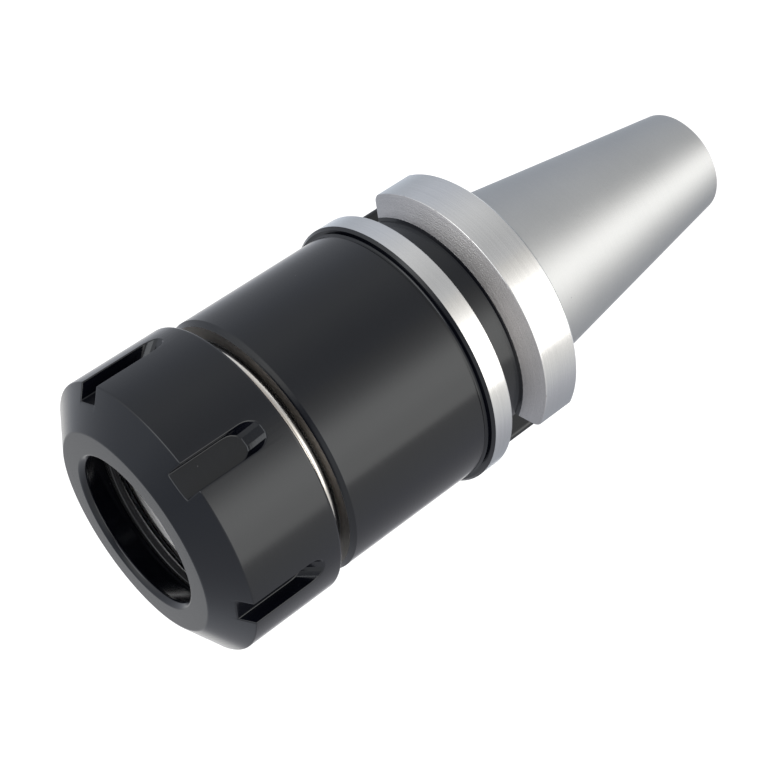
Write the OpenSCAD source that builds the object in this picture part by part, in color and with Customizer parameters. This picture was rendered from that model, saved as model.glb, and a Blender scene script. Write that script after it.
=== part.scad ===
// Collet chuck holder: a 7/24 steep-taper shank with a gripper flange, a
// cylindrical body, a tapered collet pocket and a slotted clamping nut.
// It stands on the small end of the taper, with the nut at the top.

/* [Taper shank] */
// Diameter of the taper at the gauge line
gauge_d = 44.45; // [44.45]
// Length of the taper from its small end to the gauge line
taper_length = 65.4; // [60:0.1:70]
// Diameter of the tap drill for the pull stud thread
stud_drill_d = 14; // [12:0.1:15]
// Depth at which the pull stud thread ends
stud_thread_end = 34; // [28:0.5:40]
// Diameter of the pilot that centres the pull stud
stud_pilot_d = 17; // [16:0.1:18]
// Depth of the pilot
stud_pilot_depth = 8; // [5:0.5:10]

/* [Gripper flange] */
// Outside diameter of the flange
flange_d = 63; // [60:0.1:66]
// Gauge line to the rear face of the flange
flange_rear = 2; // [1:0.1:3]
// Gauge line to the front face of the flange
flange_front = 27; // [25:0.1:29]
// Gauge line to the middle of the gripper groove
groove_middle = 16.6; // [16:0.1:17]
// Width of the gripper groove at the outside diameter
groove_width = 10; // [9:0.1:11]
// Diameter of the bottom of the gripper groove
groove_d = 53; // [52:0.1:55]
// Width of the two drive slots
drive_slot_width = 16.1; // [15:0.1:17]
// Axis to the floor of a drive slot
drive_slot_floor = 22.6; // [22.5:0.1:24]
// Gauge line to the front end of a drive slot
drive_slot_end = 21; // [20:0.1:21.4]

/* [Body] */
// Diameter of the body
body_d = 60; // [58:0.1:61]
// Gauge line to the shoulder behind the nut
shoulder = 64.3; // [62:0.1:66]
// Diameter of the ground neck in front of the shoulder
neck_d = 50; // [49:0.1:51]
// Gauge line to the nose face of the body
nose = 84.2; // [83:0.1:84.3]
// Diameter of the plain cylinder that stands for the nose thread
nose_thread_d = 48.6; // [48:0.1:48.8]

/* [Collet pocket] */
// Diameter of the pocket at the nose face
pocket_d = 41; // [40:0.1:41.5]
// Half angle of the pocket
pocket_half_angle = 8; // [7:0.5:9]
// Length of the tapered pocket
pocket_length = 46; // [40:0.5:48]
// Diameter of the relief bore behind the pocket
relief_d = 27; // [24:0.5:27.5]
// Gauge line to the bottom of the relief bore
relief_bottom = 4; // [2:0.5:10]
// Diameter of the hole that runs through to the pull stud
through_d = 11; // [9:0.5:12]

/* [Clamping nut] */
// Outside diameter of the nut
nut_d = 63; // [62:0.1:63]
// Gauge line to the rear face of the nut
nut_rear = 68.3; // [68:0.1:70]
// Gauge line to the front face of the nut
nut_front = 95.6; // [95:0.1:97]
// Diameter of the flat ring on the front face
nut_face_d = 46.6; // [44:0.1:50]
// Length of the cone between the front face and the outside diameter
nut_cone_length = 5.3; // [4:0.1:6]
// Diameter of the mouth
mouth_d = 34.2; // [33:0.1:36]
// Diameter of the bore that stands for the nut thread
nut_thread_d = 49.2; // [49:0.1:49.6]
// Number of spanner slots
slot_count = 6; // [4:1:8]
// Width of a spanner slot
slot_width = 6; // [5:0.1:7]
// Axis to the flat floor of a spanner slot
slot_floor = 28.2; // [27.5:0.1:29]
// Gauge line to the rear end of a slot floor
slot_rear = 76.6; // [74:0.1:78]
// Slope of the run-out at the rear end of a slot, from the radial direction
slot_run_out = 47; // [30:1:50]
// Corner radius at the rear end of a slot
slot_corner = 2.2; // [0.5:0.1:2.8]
// Turn of the slots about the axis
slot_turn = 32.4; // [0:0.1:60]

/* [Extractor ring] */
// Outside diameter of the ring
ring_d = 44.8; // [44:0.1:45]
// Diameter of the eccentric hole in the ring
ring_hole_d = 38.8; // [38:0.1:40]
// Offset of the hole from the axis
ring_offset = 0.6; // [0.2:0.1:0.8]
// Diameter of the retaining wire
wire_d = 1.2; // [1:0.1:1.2]
// Angle of the opening between the ends of the retaining wire
wire_opening = 24; // [10:1:40]

/* [Hidden] */
$fn = 180;

silver = [0.72, 0.73, 0.75];
black_oxide = [0.12, 0.13, 0.15];
dark_steel = [0.25, 0.25, 0.27];

// heights above the small end of the taper
gauge_z = taper_length;
flange_rear_z = gauge_z + flange_rear;
flange_front_z = gauge_z + flange_front;
shoulder_z = gauge_z + shoulder;
nose_z = gauge_z + nose;
nut_rear_z = gauge_z + nut_rear;
nut_front_z = gauge_z + nut_front;

// taper
taper_ratio = 7 / 48;                   // radius gained for each unit of length
gauge_r = gauge_d / 2;
small_end_r = gauge_r - taper_length * taper_ratio;
small_end_chamfer = 0.8;
pilot_chamfer = 0.5;
root_fillet = 1;                        // between the gauge line and the flange

// flange
flange_r = flange_d / 2;
flange_chamfer = 0.6;
groove_r = groove_d / 2;
groove_half = groove_width / 2;
groove_slope = tan(30);                 // 60 degree included angle
groove_floor_half = groove_half - (flange_r - groove_r) * groove_slope;
groove_z = gauge_z + groove_middle;
drive_slot_corner = 1.5;                // corner radius at the slot floor's front end
drive_slot_break = 1.2;                 // chamfer at the slot's outer and rear edges

// body
body_r = body_d / 2;
relief_width = 1.2;                     // undercut between the flange and the body
relief_r = body_r - 0.5;
relief_fillet = 0.7;                    // between the flange and the undercut
body_chamfer = 1;
neck_r = neck_d / 2;
neck_fillet = 1.2;
neck_length = 3.5;
thread_relief_r = 23.6;
thread_relief_length = 3;
nose_thread_r = nose_thread_d / 2;
nose_chamfer = 1;

// pocket
pocket_r = pocket_d / 2;
pocket_mouth_chamfer = 0.8;
pocket_end_z = nose_z - pocket_length;
pocket_end_r = pocket_r - pocket_length * tan(pocket_half_angle);
relief_bore_r = relief_d / 2;
relief_bottom_z = gauge_z + relief_bottom;
through_r = through_d / 2;
drill_point = (relief_bore_r - through_r) / tan(59);
stud_r = stud_drill_d / 2;
stud_pilot_r = stud_pilot_d / 2;
stud_point = (stud_r - through_r) / tan(59);

// nut
nut_r = nut_d / 2;
nut_rear_round = 0.8;
nut_face_r = nut_face_d / 2;
mouth_r = mouth_d / 2;
mouth_chamfer = 0.9;
mouth_land = 0.5;
nut_cone_half_angle = 30;
cone_end_r = 20.45;                     // where the clamping cone meets the ring seat
cone_end_z = nut_front_z - mouth_chamfer - mouth_land
    - (cone_end_r - mouth_r) / tan(nut_cone_half_angle);
ring_seat_r = ring_d / 2 + 0.3;
nut_thread_r = nut_thread_d / 2;
nut_step_z = nose_z + 0.4;              // the bore steps down just in front of the nose
nut_rear_chamfer = 1;
thread_run_out = 2;                     // plain relief in front of the nut thread
thread_run_out_r = 25.2;

// ring and wire
ring_thickness = 1.5;
ring_top_z = cone_end_z - 0.25;
ring_edge = 0.3;
wire_r = wire_d / 2;
wire_gap = 0.35;                        // end play between the ring and the wire
wire_z = ring_top_z - ring_thickness - wire_gap - wire_r;
wire_ring_r = 23.2;
wire_groove_clearance = 0.05;

// cylinder with its axis along +X, used for what lies across the part
module rod_x(r, length) {
    rotate([0, 90, 0]) cylinder(r = r, h = length, $fn = 64);
}

// ---------------------------------------------------------------- holder body

// half section of the holder, as radius and height
module holder_section() {
    polygon([
        [through_r, stud_thread_end + stud_point],
        [stud_r, stud_thread_end],
        [stud_r, stud_pilot_depth],
        [stud_pilot_r, stud_pilot_depth],
        [stud_pilot_r, pilot_chamfer],
        [stud_pilot_r + pilot_chamfer, 0],
        [small_end_r - small_end_chamfer, 0],
        [small_end_r + small_end_chamfer * taper_ratio, small_end_chamfer],
        [gauge_r, gauge_z],
        [gauge_r, flange_rear_z],
        [flange_r - flange_chamfer, flange_rear_z],
        [flange_r, flange_rear_z + flange_chamfer],
        [flange_r, groove_z - groove_half],
        [groove_r, groove_z - groove_floor_half],
        [groove_r, groove_z + groove_floor_half],
        [flange_r, groove_z + groove_half],
        [flange_r, flange_front_z - flange_chamfer],
        [flange_r - flange_chamfer, flange_front_z],
        [relief_r, flange_front_z],
        [relief_r, flange_front_z + relief_width],
        [body_r, flange_front_z + relief_width],
        [body_r, shoulder_z - body_chamfer],
        [body_r - body_chamfer, shoulder_z],
        [neck_r, shoulder_z],
        [neck_r, shoulder_z + neck_length],
        [thread_relief_r, shoulder_z + neck_length],
        [thread_relief_r, shoulder_z + neck_length + thread_relief_length],
        [nose_thread_r, shoulder_z + neck_length + thread_relief_length],
        [nose_thread_r, nose_z - nose_chamfer],
        [nose_thread_r - nose_chamfer, nose_z],
        [pocket_r + pocket_mouth_chamfer, nose_z],
        [pocket_r - pocket_mouth_chamfer * tan(pocket_half_angle),
         nose_z - pocket_mouth_chamfer],
        [pocket_end_r, pocket_end_z],
        [relief_bore_r, pocket_end_z],
        [relief_bore_r, relief_bottom_z + drill_point],
        [through_r, relief_bottom_z]
    ]);
    concave_fillet(gauge_r, flange_rear_z, root_fillet, -1);
    concave_fillet(relief_r, flange_front_z, relief_fillet, 1);
    concave_fillet(neck_r, shoulder_z, neck_fillet, 1);
}

// material that fills an inside corner at radius r and height z; side is the
// direction along the axis in which the fillet lies
module concave_fillet(r, z, size, side) {
    translate([r, z]) scale([1, side]) difference() {
        translate([-0.1, -0.1]) square(size + 0.1);
        translate([size, size]) circle(r = size, $fn = 48);
    }
}

// what is taken off to round the upper outside corner at radius r, height z
module corner_cut(r, z, size) {
    difference() {
        translate([r - size, z - size]) square(size + 0.1);
        translate([r - size, z - size]) circle(r = size, $fn = 48);
    }
}

// space of one drive slot, open to the rear and outwards
module drive_slot() {
    below = 3;
    outwards = 12;
    height = drive_slot_end - flange_rear + below;
    translate([drive_slot_floor, 0, flange_rear_z - below]) {
        translate([0, -drive_slot_width / 2, 0])
            cube([outwards, drive_slot_width, height - drive_slot_corner]);
        translate([0, -drive_slot_width / 2 + drive_slot_corner, 0])
            cube([outwards, drive_slot_width - 2 * drive_slot_corner, height]);
        for (side = [-1, 1])
            translate([0, side * (drive_slot_width / 2 - drive_slot_corner),
                       height - drive_slot_corner])
                rod_x(drive_slot_corner, outwards);
    }
    drive_slot_edges(drive_slot_width / 2, outwards, below);
}

// chamfers along the outer edges and the rear edges of a drive slot
module drive_slot_edges(half, outwards, below) {
    edge_x = sqrt(flange_r ^ 2 - half ^ 2) - drive_slot_break;
    translate([0, 0, flange_rear_z - below])
        linear_extrude(groove_z - flange_rear_z + below) polygon([
            [edge_x, -half],
            [edge_x + outwards, -half - outwards],
            [edge_x + outwards, half + outwards],
            [edge_x, half]
        ]);
    translate([drive_slot_floor, 0, flange_rear_z]) rotate([90, 0, 90])
        linear_extrude(outwards) polygon([
            [-half, drive_slot_break],
            [-half - drive_slot_break - below, -below],
            [half + drive_slot_break + below, -below],
            [half, drive_slot_break]
        ]);
}

module holder_body() {
    color(silver) difference() {
        rotate_extrude() holder_section();
        for (turn = [0, 180]) rotate(turn) drive_slot();
    }
}

// --------------------------------------------------------------- clamping nut

// half section of the nut, as radius and height
module nut_section() {
    difference() {
        polygon([
            [nut_thread_r, nut_rear_z + nut_rear_chamfer],
            [nut_thread_r + nut_rear_chamfer, nut_rear_z],
            [nut_r, nut_rear_z],
            [nut_r, nut_front_z - nut_cone_length],
            [nut_face_r, nut_front_z],
            [mouth_r + mouth_chamfer, nut_front_z],
            [mouth_r, nut_front_z - mouth_chamfer],
            [mouth_r, nut_front_z - mouth_chamfer - mouth_land],
            [cone_end_r, cone_end_z],
            [ring_seat_r, cone_end_z],
            [ring_seat_r, nut_step_z],
            [thread_run_out_r, nut_step_z],
            [thread_run_out_r, nut_step_z - thread_run_out],
            [nut_thread_r, nut_step_z - thread_run_out]
        ]);
        mirror([0, 1]) corner_cut(nut_r, -nut_rear_z, nut_rear_round);
        translate([wire_ring_r, wire_z])
            circle(r = wire_r + wire_groove_clearance, $fn = 48);
    }
}

// space of one spanner slot along +X: flat floor, straight walls, an open front
// and a sloping rear end with rounded corners
module spanner_slot() {
    height = 8;
    drop = height * tan(slot_run_out);
    corner_z = gauge_z + slot_rear + slot_corner / cos(slot_run_out);
    corner_y = slot_width / 2 - slot_corner;
    slot_block(slot_width / 2, corner_z, height, drop);
    slot_block(corner_y, gauge_z + slot_rear, height, drop);
    intersection() {
        for (side = [-1, 1])
            translate([slot_floor, side * corner_y, corner_z])
                rotate([0, slot_run_out, 0])
                    translate([-height, 0, 0]) rod_x(slot_corner, 3 * height);
        translate([slot_floor, -slot_width, corner_z - 2 * drop])
            cube([height, 2 * slot_width, 3 * drop]);
    }
}

// straight part of a slot, which starts at rear_z on the floor and leans
// towards the rear by drop over its height
module slot_block(half_width, rear_z, height, drop) {
    front = nut_front_z + 1;
    translate([0, half_width, 0]) rotate([90, 0, 0])
        linear_extrude(2 * half_width) polygon([
            [slot_floor, rear_z],
            [slot_floor + height, rear_z - drop],
            [slot_floor + height, front],
            [slot_floor, front]
        ]);
}

module clamping_nut() {
    color(black_oxide) difference() {
        rotate_extrude() nut_section();
        for (i = [0 : slot_count - 1])
            rotate(slot_turn + i * 360 / slot_count) spanner_slot();
    }
}

// ------------------------------------------------- extractor ring and its wire

// ring whose hole is off centre, so that its lip grips one side of a collet
module extractor_ring() {
    color(dark_steel) translate([0, 0, ring_top_z - ring_thickness]) difference() {
        union() {
            cylinder(r = ring_d / 2, h = ring_thickness - ring_edge);
            translate([0, 0, ring_thickness - ring_edge])
                cylinder(r1 = ring_d / 2, r2 = ring_d / 2 - ring_edge, h = ring_edge);
        }
        translate([ring_offset, 0, -1])
            cylinder(r = ring_hole_d / 2, h = ring_thickness + 2);
    }
}

// open ring of round wire that snaps into a groove of the nut
module retaining_wire() {
    color(silver) translate([0, 0, wire_z]) rotate(wire_opening / 2)
        rotate_extrude(angle = 360 - wire_opening)
            translate([wire_ring_r, 0]) circle(r = wire_r, $fn = 32);
}

holder_body();
clamping_nut();
extractor_ring();
retaining_wire();
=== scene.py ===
"""Looks of a collet chuck holder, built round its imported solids.

The holder stands on the small end of its taper with the clamping nut at the
top. Sizes in the classes are millimetres above the small end of the taper and
radii from the axis; every mesh is scaled to metres when it is finished.
"""

import logging
from collections.abc import Callable, Iterable, Sequence
from dataclasses import dataclass
from enum import Enum
from math import acos, copysign, cos, hypot, pi, radians, sin, sqrt, tan, tau

import bmesh
import bpy
from bmesh.types import BMEdge, BMesh, BMFace, BMVert
from bpy.types import Material, Node, NodeSocket, NodeTree, Object
from mathutils import Matrix, Quaternion, Vector

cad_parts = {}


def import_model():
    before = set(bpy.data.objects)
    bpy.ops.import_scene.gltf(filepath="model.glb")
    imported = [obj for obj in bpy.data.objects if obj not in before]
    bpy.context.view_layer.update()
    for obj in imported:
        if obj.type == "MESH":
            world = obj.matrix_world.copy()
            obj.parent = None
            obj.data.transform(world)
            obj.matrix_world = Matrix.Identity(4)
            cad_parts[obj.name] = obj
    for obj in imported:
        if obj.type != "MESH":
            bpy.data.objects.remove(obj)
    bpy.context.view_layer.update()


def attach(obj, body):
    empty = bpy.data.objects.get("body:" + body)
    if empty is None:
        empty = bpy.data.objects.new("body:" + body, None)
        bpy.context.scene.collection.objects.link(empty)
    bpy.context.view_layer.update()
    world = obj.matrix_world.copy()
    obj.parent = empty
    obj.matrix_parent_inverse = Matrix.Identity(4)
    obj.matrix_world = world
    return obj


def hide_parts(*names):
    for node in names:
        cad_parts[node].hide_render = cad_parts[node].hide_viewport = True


LOG = logging.getLogger("collet_chuck_holder")
MM = 0.001
AXIS = Vector((0.0, 0.0, 1.0))
CENTRE = Vector((0.0, 0.0, 0.0))
NEAR = 1e-4  # two points of a mesh this close, in millimetres, are one point
HAIR = 0.01  # room that a test on a place leaves, in millimetres
SQUARE_FOLD = 60.0  # least fold of an edge between two square faces, in degrees

Test = Callable[[Vector], bool]


# ---- finishes


@dataclass(frozen=True)
class SurfaceFinish:
    """How one machined surface looks.

    Colours are linear. Tones run from `dark` to `light` with the surface's own
    marks, and roughness from `smooth` to `rough`.
    """

    name: str
    dark: tuple[float, float, float]
    light: tuple[float, float, float]
    smooth: float
    rough: float
    metallic: float = 1.0
    specular: float = 0.5
    lines: float = 9000.0
    grain: float = 6000.0
    line_share: float = 0.5
    line_depth: float = 0.0
    grain_depth: float = 0.0
    speck: tuple[float, float, float] = (0.4, 0.4, 0.42)
    speck_share: float = 0.0


class Finish(Enum):
    """The finishes that a face of the holder can have."""

    TAPER = SurfaceFinish(
        "ground_taper", (0.39, 0.4, 0.41), (0.455, 0.465, 0.475), smooth=0.43, rough=0.5,
        lines=5200.0, grain=4200.0, line_share=0.35, line_depth=0.00002,
        grain_depth=0.00003, speck=(0.16, 0.16, 0.17), speck_share=0.05,
    )
    LAND = SurfaceFinish(
        "ground_flange_land", (0.58, 0.585, 0.59), (0.68, 0.685, 0.69), smooth=0.14, rough=0.21,
        lines=7000.0, grain=5000.0, line_share=0.6, line_depth=0.00002,
        speck=(0.2, 0.2, 0.21), speck_share=0.05,
    )
    FLANK = SurfaceFinish(
        "turned_groove_flank", (0.33, 0.325, 0.33), (0.52, 0.515, 0.52), smooth=0.26, rough=0.38,
        lines=4200.0, grain=4600.0, line_share=0.25, line_depth=0.00003, grain_depth=0.00008,
    )
    OXIDE = SurfaceFinish(
        "black_oxide", (0.001, 0.0012, 0.003), (0.0022, 0.0026, 0.0045), smooth=0.12, rough=0.2,
        metallic=0.0, specular=0.45, lines=3200.0, grain=2600.0, line_share=0.4,
        line_depth=0.000012, speck=(0.06, 0.06, 0.063), speck_share=0.04,
    )
    NUT_OXIDE = SurfaceFinish(
        "black_oxide_on_nut", (0.001, 0.0012, 0.003), (0.0022, 0.0026, 0.0045), smooth=0.13,
        rough=0.22, metallic=0.0, specular=0.45, lines=3600.0, grain=3000.0, line_share=0.3,
        line_depth=0.000010, speck=(0.06, 0.06, 0.063), speck_share=0.06,
    )
    # Painted reflection: this steel is darker and browner than bare steel and stands in for the
    # dark surroundings that the shoulder reflects. Its lines are real turning marks.
    SHOULDER = SurfaceFinish(
        "turned_shoulder_painted_dark_reflection", (0.3, 0.265, 0.24), (0.42, 0.385, 0.355), smooth=0.34, rough=0.46,
        lines=4200.0, line_share=0.6, line_depth=0.00002,
    )
    NECK = SurfaceFinish(
        "ground_neck", (0.6, 0.58, 0.55), (0.72, 0.7, 0.67), smooth=0.12, rough=0.2,
        lines=8000.0, line_share=0.7, line_depth=0.00002,
    )
    THREAD = SurfaceFinish(
        "cut_thread", (0.3, 0.29, 0.28), (0.44, 0.43, 0.42), smooth=0.2, rough=0.32,
        lines=6000.0, line_share=0.6, line_depth=0.00002,
    )
    # Painted highlight: this steel is lighter than bare steel and stands in for light that the
    # ring's underside shades off the nose face and the pocket's mouth chamfer. Its roughness and
    # lines are real.
    NOSE = SurfaceFinish(
        "satin_nose_painted_highlight", (0.82, 0.82, 0.82), (0.92, 0.92, 0.92), smooth=0.42, rough=0.52,
        lines=6000.0, line_share=0.7, line_depth=0.00002,
    )
    POCKET = SurfaceFinish(
        "ground_collet_pocket", (0.6, 0.6, 0.61), (0.7, 0.7, 0.71), smooth=0.1, rough=0.17,
        lines=9000.0, line_share=0.7, line_depth=0.00001,
    )
    BORE = SurfaceFinish(
        "drilled_bore", (0.16, 0.155, 0.15), (0.28, 0.275, 0.27), smooth=0.28, rough=0.42,
        lines=2600.0, line_share=0.8, line_depth=0.00006,
    )
    RING = SurfaceFinish(
        "hardened_ring", (0.02, 0.02, 0.022), (0.035, 0.035, 0.037), smooth=0.2, rough=0.32,
        metallic=0.3, lines=5000.0, line_share=0.5, line_depth=0.00002,
    )
    WIRE = SurfaceFinish(
        "spring_wire", (0.34, 0.34, 0.35), (0.46, 0.46, 0.47), smooth=0.2, rough=0.3,
        grain=3000.0, line_share=0.0,
    )


class NodeBook:
    """Small helper that adds nodes to one node tree."""

    def __init__(self, tree: NodeTree) -> None:
        """Takes the tree that the nodes go into."""
        self.tree = tree

    @classmethod
    def cleared(cls, owner: Material | bpy.types.World) -> "NodeBook":
        """Gives a material or a world an empty node tree and opens it."""
        owner.use_nodes = True
        owner.node_tree.nodes.clear()
        return cls(owner.node_tree)

    def add(self, kind: str, feeds: dict[str | int, object] | None = None,
            **settings: object) -> Node:
        """Adds one node.

        Args:
            kind: The node's type name without the leading ShaderNode.
            feeds: Sources or values of its inputs, by their name or place.
            settings: Properties to set on it.

        Returns:
            The new node.
        """
        node = self.tree.nodes.new(kind if kind.startswith("Node") else "ShaderNode" + kind)
        for name, value in settings.items():
            setattr(node, name, value)
        for name, value in (feeds or {}).items():
            self.feed(node.inputs[name], value)
        return node

    def feed(self, target: NodeSocket, source: object) -> None:
        """Links a socket to its source, or sets its value when it is a constant."""
        if isinstance(source, NodeSocket):
            self.tree.links.new(source, target)
        elif target.type == "RGBA":
            target.default_value = (*source, 1.0)
        else:
            target.default_value = source

    def maths(self, operation: str, *values: object, clamp: bool = False) -> NodeSocket:
        """Adds a Math node.

        Args:
            operation: The name of the operation.
            values: Sockets or numbers for its inputs.
            clamp: Whether the result is kept from 0 to 1.

        Returns:
            Its output socket.
        """
        feeds = dict(enumerate(values))
        return self.add("Math", feeds, operation=operation, use_clamp=clamp).outputs[0]

    def weighted(self, first: object, weight: float, second: object, other: float) -> NodeSocket:
        """Adds two values, each times its weight, and returns the sum's socket."""
        return self.maths("ADD", self.maths("MULTIPLY", first, weight),
                          self.maths("MULTIPLY", second, other))

    def blend(self, share: object, first: object, second: object) -> NodeSocket:
        """Mixes two colours by a share from 0 to 1 and returns the result's socket."""
        node = self.add("Mix", data_type="RGBA")
        for name, kind, value in (("Factor", "VALUE", share), ("A", "RGBA", first),
                                  ("B", "RGBA", second)):
            self.feed(next(s for s in node.inputs if (s.name, s.type) == (name, kind)), value)
        return next(s for s in node.outputs if s.type == "RGBA")


class MachiningMarks:
    """Shared node group with the marks that turning, grinding and handling leave."""

    NAME = "machining_marks"
    INPUTS = ("Lines", "Grain", "Specks")
    OUTPUTS = ("Lines", "Grain", "Blotch", "Specks")
    DRIFT = 0.006  # how much the lines change across the piece
    DRIFT_SKEW = 0.7  # how much of that is along Y, for each unit along X
    DETAIL = 2.0
    BLOTCH_SCALE = 55.0
    BLOTCH_DETAIL = 3.0
    SPECK_SCALE = 420.0
    SPECK_SIZE = 0.045

    def group(self) -> NodeTree:
        """Returns the group, and builds it the first time."""
        return bpy.data.node_groups.get(self.NAME) or self._build()

    def _build(self) -> NodeTree:
        """Builds the group.

        Returns:
            The node group. Lines run round the axis, grain and blotches lie
            anywhere, and specks are single bright or dark points.
        """
        tree = bpy.data.node_groups.new(self.NAME, "ShaderNodeTree")
        for way, names in (("INPUT", self.INPUTS), ("OUTPUT", self.OUTPUTS)):
            for name in names:
                tree.interface.new_socket(name, in_out=way, socket_type="NodeSocketFloat")
        book = NodeBook(tree)
        given = book.add("NodeGroupInput").outputs
        place = book.add("TexCoord").outputs["Object"]
        x, y, z = book.add("SeparateXYZ", {0: place}).outputs
        radius = book.maths("SQRT", book.maths("ADD", book.maths("MULTIPLY", x, x),
                                               book.maths("MULTIPLY", y, y)))
        skewed = book.maths("ADD", x, book.maths("MULTIPLY", y, self.DRIFT_SKEW))
        drift = book.maths("MULTIPLY", skewed, self.DRIFT)
        rings = book.add("CombineXYZ", {0: radius, 1: drift, 2: z}).outputs[0]
        book.add("NodeGroupOutput", {
            "Lines": self._noise(book, rings, given["Lines"], self.DETAIL),
            "Grain": self._noise(book, place, given["Grain"], self.DETAIL),
            "Blotch": self._noise(book, place, self.BLOTCH_SCALE, self.BLOTCH_DETAIL),
            "Specks": self._specks(book, place, given["Specks"]),
        })
        return tree

    @staticmethod
    def _noise(book: NodeBook, place: object, scale: object, detail: float) -> NodeSocket:
        """Adds noise at a place with a scale and a detail and returns its value."""
        feeds = {"Vector": place, "Scale": scale, "Detail": detail}
        return book.add("TexNoise", feeds).outputs[0]

    def _specks(self, book: NodeBook, place: object, share: object) -> NodeSocket:
        """Adds sparse round specks, in a share of the cells, and returns their mask."""
        cells = book.add("TexVoronoi", {"Vector": place, "Scale": self.SPECK_SCALE}).outputs
        near = book.maths("LESS_THAN", cells["Distance"], self.SPECK_SIZE)
        tint = book.add("SeparateColor", {0: cells["Color"]}).outputs[0]
        return book.maths("MULTIPLY", near, book.maths("LESS_THAN", tint, share))


class FinishShop:
    """Makes each finish's material once and hands it out."""

    TEXTURE_SHARE = 0.7
    BLOTCH_SHARE = 0.3
    CONTRAST = (2.6, -0.8)  # gain and offset on the marks
    GLANCE_TINT = (0.93, 0.97, 1.0)

    def __init__(self) -> None:
        """Starts with no material made."""
        self.made: dict[Finish, Material] = {}

    def material(self, finish: Finish) -> Material:
        """Returns the material of a finish, and makes it the first time."""
        if finish not in self.made:
            self.made[finish] = self._make(finish)
        return self.made[finish]

    def _make(self, finish: Finish) -> Material:
        """Builds the node tree of one finish.

        Args:
            finish: Which finish to make.

        Returns:
            The new material.
        """
        look = finish.value
        material = bpy.data.materials.new(look.name)
        book = NodeBook.cleared(material)
        amounts = {"Lines": look.lines, "Grain": look.grain, "Specks": look.speck_share}
        marks = book.add("Group", amounts, node_tree=MachiningMarks().group()).outputs
        lines, grain = marks["Lines"], marks["Grain"]
        texture = book.weighted(lines, look.line_share, grain, 1.0 - look.line_share)
        tone = book.weighted(texture, self.TEXTURE_SHARE, marks["Blotch"], self.BLOTCH_SHARE)
        crisp = book.maths("MULTIPLY_ADD", tone, *self.CONTRAST, clamp=True)
        plain = book.blend(crisp, look.dark, look.light)
        roughness = book.add("MapRange", {"Value": crisp, "To Min": look.smooth,
                                          "To Max": look.rough})
        feeds = {
            "Base Color": book.blend(marks["Specks"], plain, look.speck),
            "Roughness": roughness.outputs["Result"],
            "Metallic": look.metallic,
            "Specular IOR Level": look.specular,
            "Specular Tint": self.GLANCE_TINT,
        }
        if look.line_depth or look.grain_depth:
            height = book.weighted(lines, look.line_depth, grain, look.grain_depth)
            bump = book.add("Bump", {"Strength": 1.0, "Distance": 1.0, "Height": height})
            feeds["Normal"] = bump.outputs["Normal"]
        shader = book.add("BsdfPrincipled", feeds)
        book.add("OutputMaterial", {"Surface": shader.outputs[0]})
        return material


# ---- mesh workshop


@dataclass(frozen=True)
class Corner:
    """A corner of a half section, at a radius and a height."""

    r: float
    z: float
    finish: Finish  # of the face from this corner to the next
    radius: float = 0.0  # that rounds or fills the corner
    arc: Finish | None = None  # finish of the rounding, if not that of the face before it


class Turning:
    """A half section that is spun about the axis."""

    ARC_STEPS = 6

    def __init__(self, corners: Sequence[Corner]) -> None:
        """Takes the corners of a closed half section in order, and rounds them."""
        self.stations: list[Corner] = []
        for index, corner in enumerate(corners):
            after = corners[(index + 1) % len(corners)]
            self.stations.extend(self._arc(corners[index - 1], corner, after)
                                 if corner.radius else [corner])

    def _arc(self, before: Corner, corner: Corner, after: Corner) -> list[Corner]:
        """Works out the points on the arc of a rounded corner.

        Args:
            before: The corner that comes first.
            corner: The corner with the radius.
            after: The corner that comes next.

        Returns:
            The arc's points, as sharp corners.
        """
        here = Vector((corner.r, corner.z))
        back = (Vector((before.r, before.z)) - here).normalized()
        on = (Vector((after.r, after.z)) - here).normalized()
        half = back.angle(on) / 2
        reach = corner.radius / tan(half)
        middle = here + (back + on).normalized() * (corner.radius / sin(half))
        start, end = here + back * reach - middle, here + on * reach - middle
        sweep = start.angle(end)
        points = []
        for step in range(self.ARC_STEPS + 1):
            share = step / self.ARC_STEPS
            spot = middle + (start * sin((1 - share) * sweep)
                             + end * sin(share * sweep)) / sin(sweep)
            finish = (corner.arc or before.finish) if step < self.ARC_STEPS else corner.finish
            points.append(Corner(spot.x, spot.y, finish))
        return points

    def sector(self, angle: float, steps: int, order: Sequence[Finish]) -> BMesh:
        """Spins the section through an angle that is centred on the X axis.

        Args:
            angle: Angle of the sector, in radians.
            steps: Number of faces along it.
            order: Finishes in the order of the piece's material slots.

        Returns:
            The skin of the sector, open at its two ends.
        """
        bm = bmesh.new()
        start = Matrix.Rotation(-angle / 2, 3, "Z")
        points = [bm.verts.new(start @ Vector((s.r, 0.0, s.z))) for s in self.stations]
        wire = [bm.edges.new((a, b)) for a, b in zip(points, points[1:] + points[:1])]
        bmesh.ops.spin(bm, geom=[*points, *wire], cent=CENTRE, axis=AXIS, angle=angle,
                       steps=steps, use_merge=False)
        places = [(Vector(((a.r + b.r) / 2, (a.z + b.z) / 2)), order.index(a.finish))
                  for a, b in zip(self.stations, self.stations[1:] + self.stations[:1])]
        found: dict[tuple[float, float], int] = {}
        for face in bm.faces:
            radius = sum(v.co.xy.length for v in face.verts) / len(face.verts)
            spot = (round(radius, 3), round(face.calc_center_median().z, 3))
            if spot not in found:
                found[spot] = min(places, key=lambda p: (p[0] - Vector(spot)).length)[1]
            face.material_index = found[spot]
        merge_points(bm)
        face_outwards(bm)
        return bm


def face_outwards(bm: BMesh) -> None:
    """Turns every face of a closed mesh outwards."""
    bmesh.ops.recalc_face_normals(bm, faces=bm.faces[:])


def merge_points(bm: BMesh, reach: float = NEAR) -> None:
    """Makes one of all points of a mesh that lie within a reach of each other."""
    bmesh.ops.remove_doubles(bm, verts=bm.verts[:], dist=reach)


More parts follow.
